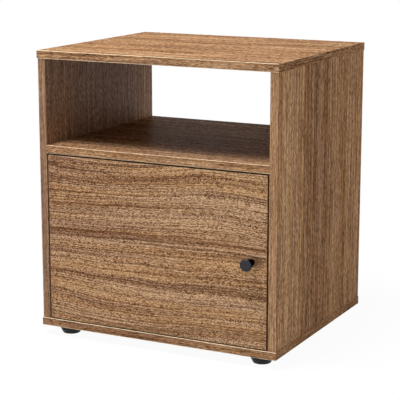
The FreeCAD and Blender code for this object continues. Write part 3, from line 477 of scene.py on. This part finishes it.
# Hinge cups: die-cast cups with a flange, nickel plated, pressed into bores in the door's back and
# held by two wood screws each. The links swing on pins across the cup.
dress(NICKEL, "lower_hinge_cup", "upper_hinge_cup", "inner_cup_pins", "outer_cup_stubs")
TO_THE_BACK = (0, 1, 0)
screws("cross_recess_cup_screws", "door",
       [(-197.0, -175.85, z + side) for z in HINGE_HEIGHTS for side in (-24, 24)],
       TO_THE_BACK, WOOD_SCREW)

# Knob: a metal taper turned from bar, finished in satin black, and held from the door's back by
# one machine screw.
dress(fine_grained("knob_black", (44, 45, 47), gloss=0.24, grain=0.0005, metal=1.0, rim=0.12), "knob")
KNOB_SCREW = dict(head=4.0, rise=2.6, shank=1.95, length=28.0, pitch=0.9)
screws("cross_recess_knob_screw", "door", [(196.0, -177.05, 193.0)], TO_THE_BACK, KNOB_SCREW)

# Magnetic catch: a brown moulded housing screwed up under the shelf, with a ferrite block held
# between two plated steel pole plates.
dress(fine_grained("catch_plastic", (70, 50, 38), gloss=0.45, grain=0.0008), "catch_housing")
dress(fine_grained("ferrite", (56, 56, 58), gloss=0.62, grain=0.0006), "catch_magnet")
POLE_STEEL = plated("pole_steel", (186, 187, 190), gloss=0.38, length=0.006, width=0.0004, axis="X")
dress(POLE_STEEL, "catch_poles")
CATCH_SCREWS_ACROSS = (150.0, 187.0)
screws("cross_recess_catch_screws", "carcass",
       [(x, -167.25, 350.5) for x in CATCH_SCREWS_ACROSS], DOWN, WOOD_SCREW)

# Strike: a thin plated steel plate on the door's back that the catch pulls on, held by two
# wood screws.
dress(POLE_STEEL, "strike_plate")
screws("cross_recess_strike_screws", "door",
       [(x, -175.55, 346.25) for x in CATCH_SCREWS_ACROSS], TO_THE_BACK, WOOD_SCREW)


# Studio: a pale floor under soft lamps and a dim even sky, and the camera of the photograph. The
# main lamp hangs almost overhead, and low fills light the front, the sides and the back.
def lamp(name, spot, aim, size, level):
    """A round softbox that lights a face square to it at the aim to a level: 1 shows its colour."""
    light = bpy.data.lights.new(name, "AREA")
    gap = Vector(aim) - Vector(spot)
    light.shape, light.size = "DISK", size
    light.energy = level * math.pi ** 2 * gap.length ** 2
    stand = bpy.data.objects.new(name, light)
    stand.location = spot
    stand.rotation_euler = gap.to_track_quat("-Z", "Y").to_euler()
    stand.visible_camera = False
    bpy.context.scene.collection.objects.link(stand)


lamp("overhead_softbox", (-0.30, -0.75, 2.8), (0.0, 0.0, 0.54), size=1.1, level=1.39)
lamp("front_fill", (-1.2, -3.35, 0.30), (0.0, -0.19, 0.2), size=0.8, level=0.50)
lamp("right_fill", (3.0, 0.35, 0.9), (0.24, 0.0, 0.28), size=1.2, level=0.33)
lamp("cubby_fill", (2.6, -1.9, 0.17), (-0.2, 0.0, 0.45), size=0.3, level=0.035)
lamp("back_fill", (-1.5, 3.0, 0.42), (0.0, 0.2, 0.25), size=0.8, level=0.40)


def seen(start):
    """1 for rays that show the background, straight or in a reflection."""
    kinds = [start.node("ShaderNodeLightPath", {}, output=kind)
             for kind in ("Is Camera Ray", "Is Glossy Ray", "Is Transmission Ray")]
    return (kinds[0] + kinds[1] + kinds[2]).over(0.5)


WHITE = (1.0, 1.0, 1.0, 1.0)
SKY_LEVEL = 0.20
world = bpy.data.worlds.new("studio")
bpy.context.scene.world = world
world.use_nodes = True
background = world.node_tree.nodes["Background"].inputs
background["Color"].default_value = WHITE
link(seen(Field(world.node_tree)) * (1.0 - SKY_LEVEL) + SKY_LEVEL, background["Strength"])

# The floor shows as white with a faint shadow under the table, and lights the table as a mid grey.
FLOOR_REACH = 14.0
FLOOR_GREY, FLOOR_PALE = (0.4, 0.4, 0.4, 1.0), (0.92, 0.92, 0.92, 1.0)
SHADOW_SHARE, SHADOW_FROM, SHADOW_TO = 0.05, 0.3, 0.8
floor_mesh = bpy.data.meshes.new("floor")
floor_mesh.from_pydata([(x * FLOOR_REACH, y * FLOOR_REACH, 0)
                        for x, y in ((-1, -1), (1, -1), (1, 1), (-1, 1))], [], [(0, 1, 2, 3)])
floor = bpy.data.objects.new("floor", floor_mesh)
bpy.context.scene.collection.objects.link(floor)
floor_finish, start, shader = new_finish("floor")
shader["Base Color"].default_value = FLOOR_GREY
shader["Roughness"].default_value = 0.9
shader["Specular IOR Level"].default_value = 0.0
glow = start.node("ShaderNodeEmission", {"Color": WHITE, "Strength": 1.0})
pale = start.node("ShaderNodeBsdfDiffuse", {"Color": FLOOR_PALE})
places = start.node("ShaderNodeTexCoord", {}, output="Object")
spread = start.node("ShaderNodeVectorMath", {0: places}, {"operation": "LENGTH"}, "Value")
whiteness = spread.ease(SHADOW_FROM, SHADOW_TO) * SHADOW_SHARE + (1.0 - SHADOW_SHARE)
shown = start.node("ShaderNodeMixShader", {"Fac": whiteness, 1: pale, 2: glow})
plain = Field(start.tree, floor_finish.node_tree.nodes["Principled BSDF"].outputs["BSDF"])
both = start.node("ShaderNodeMixShader", {"Fac": seen(start), 1: plain, 2: shown})
link(both, floor_finish.node_tree.nodes["Material Output"].inputs["Surface"])
floor_mesh.materials.append(floor_finish)

# The camera stands to the right of the front and looks down on the table.
LOOKS_DOWN, TURNED_LEFT = math.radians(12.069), math.radians(26.964)
view = bpy.data.cameras.new("camera")
view.lens, view.sensor_width = 127.32, 36.0
camera = bpy.data.objects.new("camera", view)
camera.location = (1.2104, -2.3868, 0.8219)
camera.rotation_euler = (math.pi / 2 - LOOKS_DOWN, 0.0, TURNED_LEFT)
bpy.context.scene.collection.objects.link(camera)
bpy.context.scene.camera = camera
bpy.context.scene.view_settings.view_transform = "Standard"
